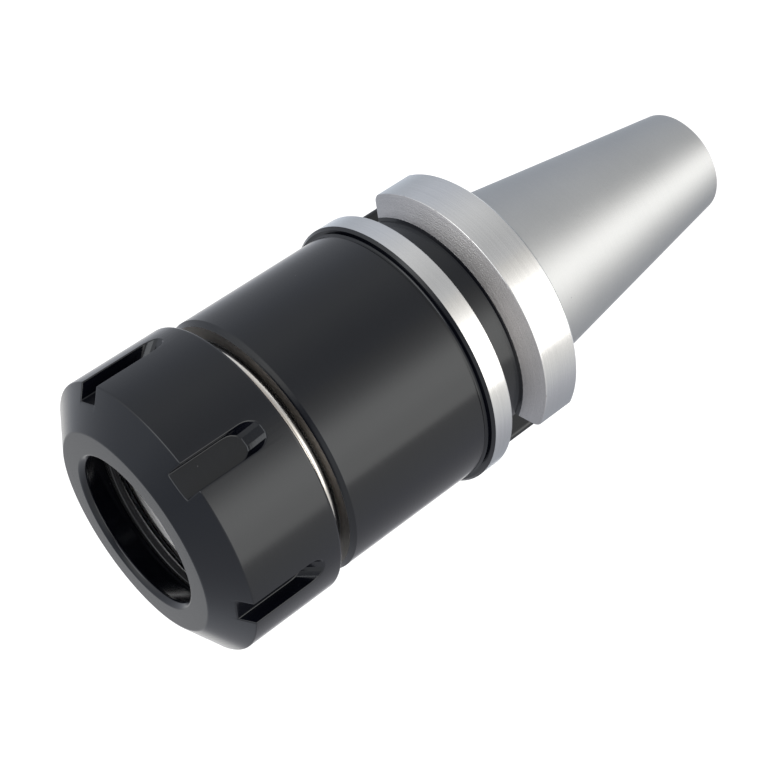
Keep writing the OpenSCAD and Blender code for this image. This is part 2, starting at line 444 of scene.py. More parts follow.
def points_of(made: Iterable[object]) -> list[BMVert]:
    """Returns the points among what an operator has made."""
    return [part for part in made if isinstance(part, BMVert)]


def finish_faces(faces: Iterable[object], index: int) -> None:
    """Puts faces in a material slot and leaves out what isn't a face."""
    for face in faces:
        if isinstance(face, BMFace):
            face.material_index = index


def faces_where(bm: BMesh, where: Test) -> set[BMFace]:
    """Returns the faces whose middle passes a test."""
    return {f for f in bm.faces if where(f.calc_center_median())}


def slice_faces(bm: BMesh, faces: set[BMFace], point: Vector, normal: Vector) -> None:
    """Cuts some faces along the plane through a point with a normal."""
    edges = {e for f in faces for e in f.edges}
    verts = {v for f in faces for v in f.verts}
    bmesh.ops.bisect_plane(bm, geom=[*faces, *edges, *verts], dist=NEAR,
                           plane_co=point, plane_no=normal)


def open_edges(bm: BMesh, where: Test) -> list[BMEdge]:
    """Returns the edges with one face whose both ends pass a test."""
    return [e for e in bm.edges if e.is_boundary and all(where(v.co) for v in e.verts)]


def close_ends(bm: BMesh) -> None:
    """Fills every open end of a mesh with one face."""
    bmesh.ops.holes_fill(bm, edges=[e for e in bm.edges if e.is_boundary], sides=0)


def ease_edges(bm: BMesh, where: Test, width: float, least: float) -> None:
    """Rounds the edges that pass a test and fold by at least an angle.

    Args:
        bm: The mesh.
        where: Test on an edge's middle.
        width: Width of the rounding.
        least: Least angle between the faces, in degrees.
    """
    edges = [e for e in bm.edges if e.is_manifold and e.calc_face_angle(0.0) > radians(least)
             and where((e.verts[0].co + e.verts[1].co) / 2)]
    bmesh.ops.bevel(bm, geom=edges, affect="EDGES", offset=width, segments=3, profile=0.5,
                    material=-1, clamp_overlap=False, offset_type="OFFSET")


def repeat_sector(bm: BMesh, count: int) -> None:
    """Copies a sector round the axis until it closes.

    Args:
        bm: The sector.
        count: How many sectors there are in all.
    """
    bmesh.ops.spin(bm, geom=[*bm.verts, *bm.edges, *bm.faces], cent=CENTRE, axis=AXIS,
                   use_duplicate=True, angle=tau * (count - 1) / count, steps=count - 1)
    merge_points(bm)
    face_outwards(bm)


def stand(name: str, data: bpy.types.ID | None) -> Object:
    """Adds an object with some data to the scene and returns it."""
    made = bpy.data.objects.new(name, data)
    bpy.context.scene.collection.objects.link(made)
    return made


def stand_mesh(name: str, bm: BMesh) -> Object:
    """Adds an object with a mesh to the scene, frees the mesh and returns the object."""
    mesh = bpy.data.meshes.new(name)
    bm.to_mesh(mesh)
    bm.free()
    return stand(name, mesh)


@dataclass(frozen=True)
class SlotCut:
    """A straight slot along the axis, cut into a sector that is centred on +X."""

    half_width: float
    corner: float  # radius of the corners of its closed end
    floor: float  # distance of its flat floor from the axis
    low: float  # lowest height that the cutter reaches
    end_plane: float  # height at which its closed end is first marked
    high: float  # greatest height that the cutter reaches
    closed_high: bool  # whether its closed end is the upper one
    finish_index: int  # material slot of its walls and its floor

    CORNER_ANGLES = (1, 30, 52, 72)  # where the corners get their points, in degrees
    SIDE_ROOM = 3.0
    FLOOR_ROOM = 2.5
    END_ROOM = 1.0

    @property
    def straight(self) -> float:
        """Half the width of the straight stretch between the end's corners."""
        return self.half_width - self.corner

    def bulge(self, y: float) -> float:
        """Returns how far the end reaches past its corners' centres beside the middle."""
        over = max(0.0, abs(y) - self.straight)
        return sqrt(max(0.0, self.corner ** 2 - over ** 2))

    def cut(self, bm: BMesh, end_point: Callable[[Vector], Vector],
            foot_point: Callable[[Vector], Vector]) -> None:
        """Cuts the slot.

        Args:
            bm: The sector's skin.
            end_point: Carries a point of the end's mark to its place on the skin.
            foot_point: Carries a point of the end's edge down to the floor.
        """
        reach = self.half_width

        def near(p: Vector) -> bool:
            return (p.x > self.floor - self.FLOOR_ROOM and abs(p.y) < reach + self.SIDE_ROOM
                    and self.low < p.z < self.high)

        def inside(p: Vector) -> bool:
            return near(p) and abs(p.y) < reach

        def removed(p: Vector) -> bool:
            beyond = p.z < self.end_plane if self.closed_high else p.z > self.end_plane
            return inside(p) and p.x > self.floor and beyond

        def on_mark(p: Vector) -> bool:
            return (abs(p.z - self.end_plane) < NEAR * 10 and p.x > self.floor + HAIR
                    and abs(p.y) < reach + NEAR)

        for side in (-1, 1):
            wall = Vector((0, side * reach, 0))
            slice_faces(bm, faces_where(bm, near), wall, Vector((0, 1, 0)))
        bottom, mark = Vector((self.floor, 0, 0)), Vector((0, 0, self.end_plane))
        slice_faces(bm, faces_where(bm, inside), bottom, Vector((1, 0, 0)))
        slice_faces(bm, faces_where(bm, inside), mark, AXIS)
        bmesh.ops.delete(bm, geom=list(faces_where(bm, removed)), context="FACES")
        for side in (-1, 1):
            for angle in self.CORNER_ANGLES:
                offset = side * (self.straight + self.corner * sin(radians(angle)))
                beside = {f for e in open_edges(bm, on_mark) for f in e.link_faces}
                slice_faces(bm, beside, Vector((0, offset, 0)), Vector((0, 1, 0)))
        rim = open_edges(bm, on_mark)
        for vert in {v for e in rim for v in e.verts}:
            vert.co = end_point(vert.co)
        grown = bmesh.ops.extrude_edge_only(bm, edges=rim)["geom"]
        feet = points_of(grown)
        for vert in feet:
            vert.co = foot_point(vert.co)
        finish_faces(grown, self.finish_index)
        self._close(bm, feet)

    def _close(self, bm: BMesh, feet: Sequence[BMVert]) -> None:
        """Closes the two walls and the floor, given the end's points on the floor."""
        tight = HAIR / 10

        def in_slot(p: Vector) -> bool:
            return (self.low - self.END_ROOM < p.z < self.high + self.END_ROOM
                    and p.x > self.floor - HAIR)

        for side in (-1, 1):
            wall = side * self.half_width
            foot = min(feet, key=lambda v: abs(v.co.y - wall))
            edges = open_edges(bm, lambda p: abs(p.y - wall) < tight and in_slot(p))
            ends = {v for e in edges for v in e.verts
                    if abs(v.co.x - self.floor) < tight and v is not foot}
            mouth = max(ends, key=lambda v: abs(v.co.z - foot.co.z))
            self._fill(bm, [*edges, bm.edges.new((foot, mouth))])
        self._fill(bm, open_edges(bm, lambda p: abs(p.x - self.floor) < tight and in_slot(p)
                                  and abs(p.y) < self.half_width + tight))

    def _fill(self, bm: BMesh, edges: Sequence[BMEdge]) -> None:
        """Fills a closed loop of edges with one face."""
        made = bmesh.ops.contextual_create(bm, geom=list(edges))["faces"]
        if not made:
            raise ValueError("a wall or floor of a slot did not close")
        finish_faces(made, self.finish_index)


@dataclass(frozen=True)
class ThreadCutter:
    """A helical bar that a Boolean takes out of a turned piece to thread it."""

    pitch: float
    root_r: float  # radius of the bottom of the thread's groove
    crest_r: float  # radius of the cylinder that is threaded
    root_width: float
    past: float  # how far the bar stands out of that cylinder
    low: float  # height of the groove's middle at its start
    turns: int

    STEPS = 120  # faces for each turn
    WIDENING = 2 * tan(radians(30))  # what the groove gains in width for each unit of depth
    SEAM = 0.002  # two turns that meet this close, in millimetres, are joined

    def build(self, name: str, finish_index: int) -> Object:
        """Builds the cutter.

        Args:
            name: Name of the object.
            finish_index: Material slot of the faces that it leaves.

        Returns:
            The cutter, in millimetres, as a closed helical bar.
        """
        depth = abs(self.crest_r - self.root_r)
        mouth_r = self.crest_r + copysign(self.past, self.crest_r - self.root_r)
        mouth_width = self.root_width + (depth + self.past) * self.WIDENING
        (inner, inner_width), (outer, outer_width) = sorted(
            ((self.root_r, self.root_width), (mouth_r, mouth_width)))
        shape = ((inner, -inner_width / 2), (outer, -outer_width / 2),
                 (outer, outer_width / 2), (inner, inner_width / 2))
        bm = bmesh.new()
        corners = [bm.verts.new((r, 0.0, self.low + z)) for r, z in shape]
        loop = [bm.edges.new((a, b)) for a, b in zip(corners, corners[1:] + corners[:1])]
        bmesh.ops.spin(bm, geom=[*corners, *loop], cent=CENTRE, axis=AXIS, angle=tau,
                       dvec=AXIS * (self.pitch / self.STEPS), steps=self.STEPS)
        bmesh.ops.spin(bm, geom=[*bm.verts, *bm.edges, *bm.faces], cent=CENTRE, axis=AXIS,
                       use_duplicate=True, angle=tau * (self.turns - 1),
                       dvec=AXIS * self.pitch, steps=self.turns - 1)
        merge_points(bm, self.SEAM)
        close_ends(bm)
        face_outwards(bm)
        finish_faces(bm.faces, finish_index)
        return stand_mesh(name, bm)


def mirrored_bars(name: str, outline: Sequence[Vector], along: Vector, finish_index: int
                  ) -> Object:
    """Builds a cutter from a straight bar and its mirror images in X = 0 and Y = 0.

    Args:
        name: Name of the object.
        outline: The corners of the bar's end, in order round it.
        along: The way from that end to the other.
        finish_index: Material slot of the faces that it leaves.

    Returns:
        The four closed bars as one object.
    """
    bm = bmesh.new()
    for turn in (-1, 1):
        for side in (-1, 1):
            mirror = Matrix.Diagonal((turn, side, 1))
            base = bm.faces.new([bm.verts.new(mirror @ p) for p in outline])
            grown = bmesh.ops.extrude_face_region(bm, geom=[base], use_keep_orig=True)["geom"]
            bmesh.ops.translate(bm, vec=mirror @ along, verts=points_of(grown))
    face_outwards(bm)
    finish_faces(bm.faces, finish_index)
    return stand_mesh(name, bm)


class Piece:
    """A finished piece: a mesh with its finishes, which rides on one body."""

    SHARP = radians(33)
    NORMAL_WEIGHT = 50

    def __init__(self, name: str, finishes: Sequence[Finish], shop: FinishShop) -> None:
        """Takes the piece's name, its finishes in slot order and the finish shop."""
        self.name = name
        self.finishes = list(finishes)
        self.shop = shop

    def index(self, finish: Finish) -> int:
        """Returns the material slot of a finish."""
        return self.finishes.index(finish)

    def finish(self, bm: BMesh, cutters: Sequence[Object] = ()) -> Object:
        """Turns a mesh in millimetres into the finished object.

        Args:
            bm: The closed mesh, which is freed.
            cutters: Bars to take out of it, which are deleted.

        Returns:
            The object at the origin, in metres, with its finishes.
        """
        merge_points(bm)
        face_outwards(bm)
        piece = stand_mesh(self.name, bm)
        for finish in self.finishes:
            piece.data.materials.append(self.shop.material(finish))
        for cutter in cutters:
            self._take_out(piece, cutter)
        self._settle(piece)
        return piece

    @staticmethod
    def _take_out(piece: Object, cutter: Object) -> None:
        """Takes a cutter out of a piece and deletes the cutter."""
        modifier = piece.modifiers.new("cut", "BOOLEAN")
        modifier.operation = "DIFFERENCE"
        modifier.solver = "MANIFOLD"
        modifier.object = cutter
        graph = bpy.context.evaluated_depsgraph_get()
        cut = bpy.data.meshes.new_from_object(piece.evaluated_get(graph))
        piece.modifiers.clear()
        old, piece.data = piece.data, cut
        used = cutter.data
        bpy.data.objects.remove(cutter)
        for mesh in (old, used):
            bpy.data.meshes.remove(mesh)

    def _settle(self, piece: Object) -> None:
        """Scales a piece to metres, smooths its faces and marks its sharp edges."""
        bm = bmesh.new()
        bm.from_mesh(piece.data)
        bmesh.ops.scale(bm, vec=(MM, MM, MM), verts=bm.verts[:])
        for face in bm.faces:
            face.smooth = True
        for edge in bm.edges:
            edge.smooth = not edge.is_manifold or edge.calc_face_angle(0.0) < self.SHARP
        bm.to_mesh(piece.data)
        bm.free()
        piece.data.name = self.name
        weighted = piece.modifiers.new("even_normals", "WEIGHTED_NORMAL")
        weighted.mode = "FACE_AREA"
        weighted.keep_sharp = True
        weighted.weight = self.NORMAL_WEIGHT


def report(piece: Object) -> None:
    """Logs a finished piece with its size and its open edges."""
    bm = bmesh.new()
    bm.from_mesh(piece.data)
    triangles = sum(len(f.verts) - 2 for f in bm.faces)
    open_count = sum(not e.is_manifold for e in bm.edges)
    bm.free()
    LOG.info("%s: %d triangles, %d open edges", piece.name, triangles, open_count)


# ---- holder body


@dataclass
class TaperHolder:
    """The one-piece holder: taper, flange with its groove, body, nose and bores."""

    shop: FinishShop
    segments: int = 240
    gauge_z: float = 65.4
    gauge_r: float = 22.225
    taper_ratio: float = 7 / 48
    small_end_chamfer: float = 0.8
    root_fillet: float = 1.0
    flange_r: float = 31.5
    flange_rear: float = 67.4
    flange_front: float = 92.4
    flange_chamfer: float = 0.6
    groove_z: float = 82.0
    groove_half: float = 5.0
    groove_r: float = 26.5
    groove_half_angle: float = 30.0
    flank_bare_r: float = 27.15
    slot_count: int = 2
    slot_half_width: float = 8.05
    slot_floor: float = 22.6
    slot_end: float = 86.4
    slot_corner: float = 1.5
    slot_round: float = 1.2
    slot_run_in: float = 0.2
    slot_mouth: float = 0.3
    edge_round: float = 0.22
    edge_fold: float = 28.0
    bar_bite: float = 0.004
    bar_lift: float = 0.05
    bar_drop: float = 0.8
    bar_room: float = 0.5
    bar_foot: float = 1.5
    bar_reach: float = 2.0
    relief_r: float = 29.5
    relief_fillet: float = 0.7
    relief_top: float = 93.6
    body_r: float = 30.0
    shoulder_z: float = 129.7
    body_chamfer: float = 1.0
    neck_r: float = 25.0
    neck_top: float = 133.2
    neck_fillet: float = 1.2
    thread_relief_r: float = 23.6
    thread_start: float = 136.2
    nose_z: float = 149.6
    nose_face_r: float = 23.3
    pocket_r: float = 20.5
    pocket_half_angle: float = 8.0
    pocket_length: float = 46.0
    pocket_chamfer: float = 0.8
    relief_bore_r: float = 13.5
    relief_bottom: float = 69.4
    through_r: float = 5.5
    drill_half_angle: float = 59.0
    stud_end: float = 34.0
    pilot_r: float = 8.5
    pilot_depth: float = 8.0
    pilot_chamfer: float = 0.5
    nose_thread: ThreadCutter = ThreadCutter(
        pitch=1.5, root_r=23.95, crest_r=24.8, root_width=0.36, past=0.15, low=135.2, turns=11)
    stud_thread: ThreadCutter = ThreadCutter(
        pitch=2.0, root_r=8.05, crest_r=7.0, root_width=0.3, past=0.2, low=6.5, turns=12)

    ROUND_STEPS = 7
    SIDE_ARC = (-92.0, 20.0)  # where the rounding of a slot's side starts and ends, in degrees
    REAR_ARC = (178.0, 272.0)  # the same for its rear edge

    FINISH_ORDER = (Finish.TAPER, Finish.LAND, Finish.FLANK, Finish.OXIDE, Finish.SHOULDER,
                    Finish.NECK, Finish.THREAD, Finish.NOSE, Finish.POCKET, Finish.BORE)

    def build(self) -> Object:
        """Builds the holder and returns it."""
        piece = Piece("taper_holder", self.FINISH_ORDER, self.shop)
        steps = self.segments // self.slot_count
        bm = Turning(self._section()).sector(tau / self.slot_count, steps, self.FINISH_ORDER)
        self._cut_drive_slot(bm, piece)
        repeat_sector(bm, self.slot_count)
        self._ease(bm)
        holder = piece.finish(bm, [
            self._slot_side_rounding(piece), self._slot_rear_rounding(piece),
            self.nose_thread.build("nose_thread_cutter", piece.index(Finish.THREAD)),
            self.stud_thread.build("stud_thread_cutter", piece.index(Finish.BORE)),
        ])
        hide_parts("holder_body")
        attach(holder, "holder")
        return holder

    def _groove_slope(self) -> float:
        """Returns how far the groove widens for each unit of radius."""
        return tan(radians(self.groove_half_angle))

    def _section(self) -> list[Corner]:
        """Returns the closed half section of the holder."""
        small_r = self.gauge_r - self.gauge_z * self.taper_ratio
        floor_half = self.groove_half - (self.flange_r - self.groove_r) * self._groove_slope()
        bare_half = self.groove_half - (self.flange_r - self.flank_bare_r) * self._groove_slope()
        lean = tan(radians(self.drill_half_angle))
        stud_point = self.stud_end + (self.stud_thread.crest_r - self.through_r) / lean
        bore_point = self.relief_bottom + (self.relief_bore_r - self.through_r) / lean
        pocket_end = self.nose_z - self.pocket_length
        slope = tan(radians(self.pocket_half_angle))
        nose_chamfer = self.nose_thread.crest_r - self.nose_face_r
        taper, land, oxide = Finish.TAPER, Finish.LAND, Finish.OXIDE
        flank, bore, thread = Finish.FLANK, Finish.BORE, Finish.THREAD
        return [Corner(*row) for row in (
            (self.through_r, stud_point, bore),
            (self.stud_thread.crest_r, self.stud_end, bore),
            (self.stud_thread.crest_r, self.pilot_depth, bore),
            (self.pilot_r, self.pilot_depth, bore),
            (self.pilot_r, self.pilot_chamfer, bore),
            (self.pilot_r + self.pilot_chamfer, 0.0, land),
            (small_r - self.small_end_chamfer, 0.0, taper),
            (small_r + self.small_end_chamfer * self.taper_ratio, self.small_end_chamfer, taper),
            (self.gauge_r, self.gauge_z, taper),
            (self.gauge_r, self.flange_rear, land, self.root_fillet),
            (self.flange_r - self.flange_chamfer, self.flange_rear, land),
            (self.flange_r, self.flange_rear + self.flange_chamfer, land),
            (self.flange_r, self.groove_z - self.groove_half, flank),
            (self.flank_bare_r, self.groove_z - bare_half, oxide),
            (self.groove_r, self.groove_z - floor_half, oxide),
            (self.groove_r, self.groove_z + floor_half, oxide),
            (self.flank_bare_r, self.groove_z + bare_half, flank),
            (self.flange_r, self.groove_z + self.groove_half, land),
            (self.flange_r, self.flange_front - self.flange_chamfer, oxide),
            (self.flange_r - self.flange_chamfer, self.flange_front, oxide),
            (self.relief_r, self.flange_front, oxide, self.relief_fillet),
            (self.relief_r, self.relief_top, oxide),
            (self.body_r, self.relief_top, oxide),
            (self.body_r, self.shoulder_z - self.body_chamfer, oxide),
            # The shoulder face gets the painted dark reflection of the shoulder finish.
            (self.body_r - self.body_chamfer, self.shoulder_z, Finish.SHOULDER),
            (self.neck_r, self.shoulder_z, Finish.NECK, self.neck_fillet, Finish.NECK),
            (self.neck_r, self.neck_top, Finish.NECK),
            (self.thread_relief_r, self.neck_top, thread),
            (self.thread_relief_r, self.thread_start, thread),
            (self.nose_thread.crest_r, self.thread_start, thread),
            (self.nose_thread.crest_r, self.nose_z - nose_chamfer, thread),
            # The nose face and the pocket's mouth chamfer get the painted highlight of the nose
            # finish.
            (self.nose_face_r, self.nose_z, Finish.NOSE),
            (self.pocket_r + self.pocket_chamfer, self.nose_z, Finish.NOSE),
            (self.pocket_r - self.pocket_chamfer * slope, self.nose_z - self.pocket_chamfer,
             Finish.POCKET),
            (self.pocket_r - self.pocket_length * slope, pocket_end, bore),
            (self.relief_bore_r, pocket_end, bore),
            (self.relief_bore_r, bore_point, bore),
            (self.through_r, self.relief_bottom, bore),
        )]

    def _cut_drive_slot(self, bm: BMesh, piece: Piece) -> None:
        """Cuts one drive slot through the rear of the flange into the front flank."""
        groove_top = self.groove_z + self.groove_half
        cut = SlotCut(
            half_width=self.slot_half_width, corner=self.slot_corner, floor=self.slot_floor,
            low=self.flange_rear - self.root_fillet - self.slot_run_in, end_plane=self.slot_end,
            high=groove_top - HAIR, closed_high=True, finish_index=piece.index(Finish.OXIDE),
        )

        def on_flank(p: Vector) -> Vector:
            z = self.slot_end - (self.slot_corner - cut.bulge(p.y))
            r = self.flange_r - (groove_top - z) / self._groove_slope()
            return Vector((sqrt(r * r - p.y * p.y), p.y, z))

        def to_floor(p: Vector) -> Vector:
            return Vector((self.slot_floor, p.y, p.z))

        cut.cut(bm, on_flank, to_floor)

    def _ease(self, bm: BMesh) -> None:
        """Rounds the edges inside the drive slots and those of the gripper groove."""
        room = 0.1

        def in_slot(p: Vector) -> bool:
            at_wall = abs(abs(p.y) - self.slot_half_width) < HAIR
            at_end = p.z > self.slot_end - self.slot_corner - room
            at_floor = (abs(abs(p.x) - self.slot_floor) < HAIR
                        and p.z > self.flange_rear + self.slot_mouth)
            return (abs(p.y) < self.slot_half_width + HAIR and abs(p.x) > self.slot_floor - HAIR
                    and self.flange_rear - self.root_fillet - room < p.z < self.slot_end + room
                    and (at_wall or at_end or at_floor))

        def on_land(p: Vector) -> bool:
            at_groove = abs(abs(p.z - self.groove_z) - self.groove_half) < HAIR
            return hypot(p.x, p.y) > self.groove_r - room and at_groove

        ease_edges(bm, lambda p: in_slot(p) or on_land(p), self.edge_round, self.edge_fold)

    def _arc_points(self, start: float, end: float) -> list[tuple[float, float]]:
        """Returns points of the slots' edge rounding about its middle, in two angles."""
        angles = [radians(start + (end - start) * step / self.ROUND_STEPS)
                  for step in range(self.ROUND_STEPS + 1)]
        return [(self.slot_round * cos(a), self.slot_round * sin(a)) for a in angles]

    def _slot_side_rounding(self, piece: Piece) -> Object:
        """Builds the bars that round the slots' edges on the outside of the flange."""
        low, outside = self.flange_rear - self.bar_foot, self.flange_r + self.bar_reach
        middle_y = self.slot_half_width + self.slot_round - self.bar_bite
        middle_x = sqrt((self.flange_r - self.slot_round + self.bar_bite) ** 2 - middle_y ** 2)
        arc = [(middle_x + x, middle_y + y) for x, y in self._arc_points(*self.SIDE_ARC)]
        inner_y = self.slot_half_width - self.bar_room
        corners = [*arc, (outside, arc[-1][1] + self.bar_room), (outside, inner_y),
                   (arc[0][0], inner_y)]
        return mirrored_bars("slot_side_rounding", [Vector((x, y, low)) for x, y in corners],
                             AXIS * (self.groove_z - low), piece.index(Finish.OXIDE))

    def _slot_rear_rounding(self, piece: Piece) -> Object:
        """Builds the bars that round the slots' edges on the rear face of the flange."""
        start, below = self.slot_floor + self.bar_lift, self.flange_rear - self.bar_drop
        middle_y = self.slot_half_width + self.slot_round - self.bar_bite
        middle_z = self.flange_rear + self.slot_round - self.bar_bite
        arc = [(middle_y + y, middle_z + z) for y, z in self._arc_points(*self.REAR_ARC)]
        inner_y = self.slot_half_width - self.bar_room
        corners = [*arc, (arc[-1][0], below), (inner_y, below), (inner_y, arc[0][1])]
        along = Vector((self.flange_r + self.bar_reach - start, 0.0, 0.0))
        return mirrored_bars("slot_rear_rounding", [Vector((start, y, z)) for y, z in corners],
                             along, piece.index(Finish.OXIDE))


# ---- clamping nut


@dataclass
class ClampingNut:
    """The slotted nut with its thread, ring seat and clamping cone."""

    shop: FinishShop
    segments: int = 216
    rear_z: float = 133.7
    front_z: float = 161.0
    outer_r: float = 31.5
    rear_round: float = 0.8
    rear_chamfer: float = 1.3
    face_r: float = 23.3
    cone_length: float = 5.3
    cone_ring_r: float = 27.0
    mouth_r: float = 17.1
    mouth_chamfer: float = 0.9
    mouth_land: float = 0.5
    mouth_half_angle: float = 30.0
    cone_end_r: float = 20.45
    seat_r: float = 22.7
    step_z: float = 150.0
    run_out_r: float = 25.2
    run_out: float = 2.0
    wire_r: float = 23.2
    wire_z: float = 151.098
    wire_groove: float = 0.65
    slot_count: int = 6
    slot_turn: float = 32.4
    slot_half_width: float = 3.0
    slot_floor: float = 28.2
    slot_rear: float = 142.0
    slot_lean: float = 47.0
    slot_corner: float = 2.2
    slot_mark: float = 1.6
    edge_round: float = 0.24
    edge_fold: float = 25.0
    thread: ThreadCutter = ThreadCutter(
        pitch=1.5, root_r=25.12, crest_r=24.3, root_width=0.2, past=0.15, low=132.95, turns=11)

    GROOVE_STEPS = 8
    FINISH_ORDER = (Finish.NUT_OXIDE, Finish.THREAD)

    def build(self) -> Object:
        """Builds the nut and returns it."""
        piece = Piece("slotted_nut", self.FINISH_ORDER, self.shop)
        steps = self.segments // self.slot_count
        bm = Turning(self._section()).sector(tau / self.slot_count, steps, self.FINISH_ORDER)
        self._cut_spanner_slot(bm, piece)
        repeat_sector(bm, self.slot_count)
        self._ease(bm)
        bmesh.ops.rotate(bm, cent=CENTRE, verts=bm.verts[:],
                         matrix=Matrix.Rotation(radians(self.slot_turn), 3, "Z"))
        nut = piece.finish(bm, [
            self.thread.build("nut_thread_cutter", piece.index(Finish.THREAD)),
        ])
        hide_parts("clamping_nut")
        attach(nut, "nut")
        return nut

    def _section(self) -> list[Corner]:
        """Returns the closed half section of the nut."""
        skin, crest = Finish.NUT_OXIDE, self.thread.crest_r
        cone_share = (self.cone_ring_r - self.face_r) / (self.outer_r - self.face_r)
        cone_drop = (self.cone_end_r - self.mouth_r) / tan(radians(self.mouth_half_angle))
        mouth_z = self.front_z - self.mouth_chamfer
        cone_end_z = mouth_z - self.mouth_land - cone_drop
        groove_start = acos((self.seat_r - self.wire_r) / self.wire_groove)
        groove = [
            (self.wire_r + self.wire_groove * cos(a), self.wire_z + self.wire_groove * sin(a))
            for a in (groove_start * (1 - 2 * step / self.GROOVE_STEPS)
                      for step in range(self.GROOVE_STEPS + 1))
        ]
        return [Corner(*row[:2], skin, *row[2:]) for row in (
            (crest, self.rear_z + self.rear_chamfer),
            (crest + self.rear_chamfer, self.rear_z),
            (self.outer_r, self.rear_z, self.rear_round),
            (self.outer_r, self.front_z - self.cone_length),
            (self.cone_ring_r, self.front_z - self.cone_length * cone_share),
            (self.face_r, self.front_z),
            (self.mouth_r + self.mouth_chamfer, self.front_z),
            (self.mouth_r, mouth_z),
            (self.mouth_r, mouth_z - self.mouth_land),
            (self.cone_end_r, cone_end_z),
            (self.seat_r, cone_end_z),
            *groove,
            (self.seat_r, self.step_z),
            (self.run_out_r, self.step_z),
            (self.run_out_r, self.step_z - self.run_out),
            (crest, self.step_z - self.run_out),
        )]

    def _cut_spanner_slot(self, bm: BMesh, piece: Piece) -> None:
        """Cuts one spanner slot with its leaning, round-cornered rear end."""
        lean = radians(self.slot_lean)
        corner_z = self.slot_rear + self.slot_corner / cos(lean)
        cut = SlotCut(
            half_width=self.slot_half_width, corner=self.slot_corner, floor=self.slot_floor,
            low=self.rear_z + self.rear_round - HAIR, end_plane=self.slot_rear - self.slot_mark,
            high=self.front_z + HAIR, closed_high=False,
            finish_index=piece.index(Finish.NUT_OXIDE),
        )

        def end_at(x: float, y: float) -> Vector:
            fall = (x - self.slot_floor) * tan(lean)
            return Vector((x, y, corner_z - cut.bulge(y) / cos(lean) - fall))

        def on_skin(p: Vector) -> Vector:
            return end_at(sqrt(self.outer_r ** 2 - p.y ** 2), p.y)

        def to_floor(p: Vector) -> Vector:
            return end_at(self.slot_floor, p.y)

        cut.cut(bm, on_skin, to_floor)

    def _ease(self, bm: BMesh) -> None:
        """Rounds the slots' edges, the nut's outside edges and those of its mouth."""
        room = 0.1
        mouth_end = self.front_z - self.mouth_chamfer - self.mouth_land

        def eased(p: Vector) -> bool:
            r = hypot(p.x, p.y)
            outside = r > self.face_r - room and p.z > self.rear_z + self.rear_round + room / 2
            return outside or (r < self.face_r + room and p.z > mouth_end - room)

        ease_edges(bm, eased, self.edge_round, self.edge_fold)


# ---- extractor ring and its wire


@dataclass
class ExtractorRing:
    """The ring with the off-centre hole that pulls a collet out."""

    shop: FinishShop
    outer_r: float = 22.4
    hole_r: float = 19.4
    offset: float = 0.6
    low_z: float = 152.048
    thickness: float = 1.5
    edge: float = 0.3
    segments: int = 192

    def build(self) -> Object:
        """Builds the ring and returns it."""
        piece = Piece("eccentric_ring", (Finish.RING,), self.shop)
        bm = bmesh.new()
        for radius, aside in ((self.outer_r, 0.0), (self.hole_r, self.offset)):
            bmesh.ops.create_circle(bm, segments=self.segments, radius=radius,
                                    matrix=Matrix.Translation((aside, 0.0, self.low_z)))
        bmesh.ops.bridge_loops(bm, edges=bm.edges[:])
        grown = bmesh.ops.extrude_face_region(bm, geom=bm.faces[:], use_keep_orig=True)["geom"]
        bmesh.ops.translate(bm, vec=AXIS * self.thickness, verts=points_of(grown))
        face_outwards(bm)
        ease_edges(bm, lambda p: True, self.edge, SQUARE_FOLD)
        ring = piece.finish(bm)
        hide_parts("extractor_ring")
        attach(ring, "extractor")
        return ring


@dataclass
class SnapWire:
    """The open ring of round wire that keeps the extractor ring in the nut."""

    shop: FinishShop
    ring_r: float = 23.2
    z: float = 151.098
    wire_r: float = 0.6
    opening: float = 24.0
    end_round: float = 0.12
    segments: int = 112
    sides: int = 20

    def build(self) -> Object:
        """Builds the wire and returns it."""
        piece = Piece("snap_wire", (Finish.WIRE,), self.shop)
        bm = bmesh.new()
        start = Matrix.Rotation(radians(self.opening / 2), 4, "Z")
        upright = Matrix.Translation((self.ring_r, 0.0, self.z)) @ Matrix.Rotation(pi / 2, 4, "X")
        bmesh.ops.create_circle(bm, segments=self.sides, radius=self.wire_r,
                                matrix=start @ upright)
        bmesh.ops.spin(bm, geom=[*bm.verts, *bm.edges], cent=CENTRE, axis=AXIS,
                       angle=radians(360 - self.opening), steps=self.segments)
        close_ends(bm)
        face_outwards(bm)
        ease_edges(bm, lambda p: True, self.end_round, SQUARE_FOLD)
        wire = piece.finish(bm)
        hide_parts("retaining_wire")
        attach(wire, "nut")
        return wire


# ---- studio


@dataclass(frozen=True)
class StudioCamera:
    """The camera: its place, the point it looks at, its roll and its lens."""

    place: tuple[float, float, float] = (0.01405, 0.33483, 0.26100)
    aim: tuple[float, float, float] = (0.003817, -0.000116, 0.097171)
    roll: float = 124.571
    lens: float = 81.96
    sensor: float = 36.0
    nearest: float = 0.01
    farthest: float = 50.0

    def build(self) -> Object:
        """Adds the camera to the scene and returns it."""
        data = bpy.data.cameras.new("studio_camera")
        data.lens, data.sensor_width = self.lens, self.sensor
        data.clip_start, data.clip_end = self.nearest, self.farthest
        camera = stand("studio_camera", data)
        camera.location = self.place
        level = (Vector(self.aim) - Vector(self.place)).to_track_quat("-Z", "Y")
        camera.rotation_mode = "QUATERNION"
        camera.rotation_quaternion = level @ Quaternion(AXIS, -radians(self.roll))
        bpy.context.scene.camera = camera
        return camera


PLAIN = (1.0, 1.0, 1.0)
WARM = (1.03, 1.0, 0.95)
COOL = (0.955, 0.99, 1.07)
DIM_COOL = (0.975, 0.98, 1.04)


@dataclass(frozen=True)
class Glow:
    """Light of one tint: levels at bearings, which are in degrees from the front."""

    tint: tuple[float, float, float]
    levels: dict[float, float]


